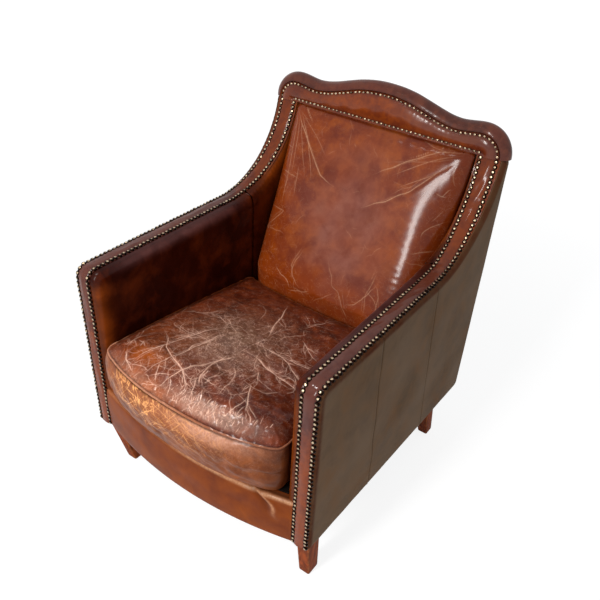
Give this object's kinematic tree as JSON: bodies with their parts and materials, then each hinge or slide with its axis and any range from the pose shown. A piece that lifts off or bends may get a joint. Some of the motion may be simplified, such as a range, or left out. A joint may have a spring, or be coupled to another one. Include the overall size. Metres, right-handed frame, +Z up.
{
  "type": "upholstered armchair",
  "caption": "Worn leather club chair with sweeping nail-trimmed arms, a camelback crest, a tight back, a loose seat cushion and tapered wooden legs.",
  "frame": {"origin": "on the floor, under the middle of the chair's bounding box", "axes": "+Z up from the floor, the seat's front faces -Y, X runs across the chair; left and right in the node names are as seen from the front, so left is -X"},
  "size_m": [0.676, 0.8092, 0.934],
  "materials": {
    "band_leather": "dark red-brown waxed leather with rows of antiqued bronze nails, rubbed orange-brown at the wing and arm fronts",
    "side_leather": "grey-brown waxed leather, dry sheen, puckered along the nails, thin vertical seams",
    "arm_leather": "very dark brown glossy leather, orange-brown where it is rubbed",
    "back_leather": "glossy mauve-brown leather, orange-brown at its edges, long pale creases",
    "seat_leather": "worn dark leather, grey-brown in the middle, cracked with a dense net of pale creases, rubbed tan at the front left",
    "rail_leather": "glossy chestnut leather",
    "hardwood": "unfinished beech frame",
    "leg_wood": "dark mahogany stain, worn at the feet",
    "spring_steel": "plain spring wire",
    "webbing": "natural jute webbing and pad",
    "lining": "black cambric"
  },
  "bodies": {
    "root": {"back_strap_1": "webbing", "back_strap_2": "webbing", "back_strap_3": "webbing", "back_strap_4": "webbing", "back_tie_rail": "hardwood", "crest_panel": "band_leather", "crest_rail": "hardwood", "crest_roll": "band_leather", "dust_cover": "lining", "front_panel": "rail_leather", "front_rail": "hardwood", "inside_back": "back_leather", "left_arm_band": "band_leather", "left_arm_post": "hardwood", "left_arm_rail": "hardwood", "left_back_post": "hardwood", "left_back_upright": "hardwood", "left_front_block": "hardwood", "left_front_leg": "leg_wood", "left_inside_arm": "arm_leather", "left_inside_wing": "arm_leather", "left_outside_arm": "side_leather", "left_rear_block": "hardwood", "left_rear_leg": "leg_wood", "left_side_rail": "hardwood", "left_sweep_rail": "hardwood", "left_tack_rail": "hardwood", "outside_back": "side_leather", "rear_bottom_rail": "hardwood", "rear_seat_rail": "hardwood", "right_arm_band": "band_leather", "right_arm_post": "hardwood", "right_arm_rail": "hardwood", "right_back_post": "hardwood", "right_back_upright": "hardwood", "right_front_block": "hardwood", "right_front_leg": "leg_wood", "right_inside_arm": "arm_leather", "right_inside_wing": "arm_leather", "right_outside_arm": "side_leather", "right_rear_block": "hardwood", "right_rear_leg": "leg_wood", "right_side_rail": "hardwood", "right_sweep_rail": "hardwood", "right_tack_rail": "hardwood", "seat_cushion": "seat_leather", "seat_deck": "webbing", "seat_spring_1": "spring_steel", "seat_spring_2": "spring_steel", "seat_spring_3": "spring_steel", "seat_spring_4": "spring_steel"}
  },
  "joints": []
}
